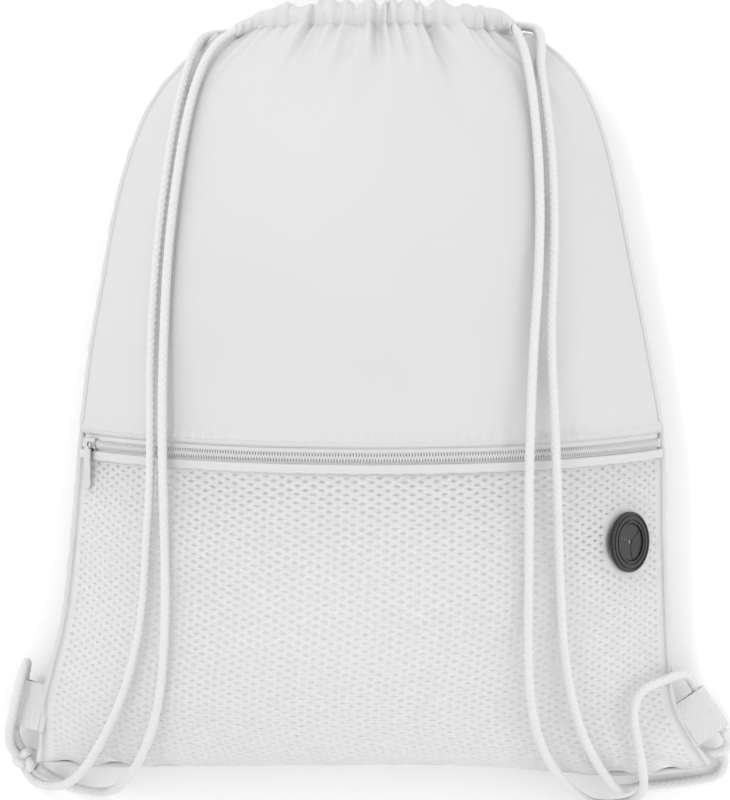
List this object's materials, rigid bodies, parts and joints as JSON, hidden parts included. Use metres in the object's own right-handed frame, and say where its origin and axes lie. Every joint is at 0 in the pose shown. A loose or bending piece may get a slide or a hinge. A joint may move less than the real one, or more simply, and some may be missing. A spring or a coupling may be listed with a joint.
{
  "type": "drawstring backpack",
  "caption": "Soft drawstring backpack lying on its back, with a gathered mouth, twisted drawcord straps, a zipped mesh front pocket and a round earphone cable port.",
  "frame": {"origin": "middle of the flat back panel, on the surface the bag lies on", "axes": "+Z out of the front panel, +Y towards the gathered mouth, +X to the right as seen from the front"},
  "size_m": [0.3671, 0.4011, 0.1124],
  "materials": {
    "plain_cloth": "fine plain weave, matt",
    "mesh_cloth": "open knitted net, matt",
    "drawcord": "round braid, matt",
    "webbing": "ribbed webbing, matt",
    "zip_tape": "ribbed woven tape, matt",
    "zip_teeth": "moulded nylon coil, satin",
    "zip_metal": "polished plating",
    "port_rubber": "soft moulded rubber, satin"
  },
  "bodies": {
    "bag": {"back_channel": "plain_cloth", "back_panel": "plain_cloth", "bottom_seam": "plain_cloth", "front_channel": "plain_cloth", "front_panel_upper": "plain_cloth", "left_cord_in_channels": "drawcord", "left_cord_inner": "drawcord", "left_cord_outer": "drawcord", "left_cord_tab_loop": "drawcord", "left_knot": "drawcord", "left_tab": "webbing", "mesh_pocket_panel": "mesh_cloth", "pocket_back_panel": "plain_cloth", "pocket_top_binding": "zip_tape", "port_backing_ring": "port_rubber", "port_flange": "port_rubber", "right_cord_in_channels": "drawcord", "right_cord_inner": "drawcord", "right_cord_outer": "drawcord", "right_knot": "drawcord", "right_tab": "webbing", "side_seam_left": "plain_cloth", "side_seam_right": "plain_cloth", "zip_coil_lower": "zip_teeth", "zip_coil_upper": "zip_teeth", "zip_hem": "zip_tape", "zip_stop_left": "zip_teeth", "zip_stop_right": "zip_teeth", "zip_tape_lower": "zip_tape", "zip_tape_upper": "zip_tape"},
    "slider": {"slider_body": "zip_metal", "slider_bridge": "zip_metal"},
    "puller": {"puller": "zip_metal"},
    "flap_1": {"port_flap_1": "port_rubber"},
    "flap_2": {"port_flap_2": "port_rubber"},
    "flap_3": {"port_flap_3": "port_rubber"}
  },
  "joints": [
    {"name": "zip_slide", "type": "hinge", "parent": "bag", "child": "slider", "pos_m": [-0.00025, -0.0123, -0.07037], "axis": [0, 0.9962, 0.0872], "range_deg": [0, 104]},
    {"name": "puller_swing", "type": "hinge", "parent": "slider", "child": "puller", "pos_m": [-0.14154, -0.02192, 0.0396], "axis": [-0.6157, 0.0687, -0.785], "range_deg": [0, 150]},
    {"name": "port_flap_1_bend", "type": "hinge", "parent": "bag", "child": "flap_1", "pos_m": [0.12643, -0.06112, 0.05426], "axis": [0.6622, 0.1539, -0.7333], "range_deg": [0, 30], "stiffness_Nm_per_rad": 0.004},
    {"name": "port_flap_2_bend", "type": "hinge", "parent": "bag", "child": "flap_2", "pos_m": [0.12258, -0.07566, 0.05837], "axis": [-0.4157, 0.7787, 0.4699], "range_deg": [0, 30], "stiffness_Nm_per_rad": 0.004},
    {"name": "port_flap_3_bend", "type": "hinge", "parent": "bag", "child": "flap_3", "pos_m": [0.1329, -0.07326, 0.04694], "axis": [-0.2466, -0.9326, 0.2634], "range_deg": [0, 30], "stiffness_Nm_per_rad": 0.004}
  ]
}
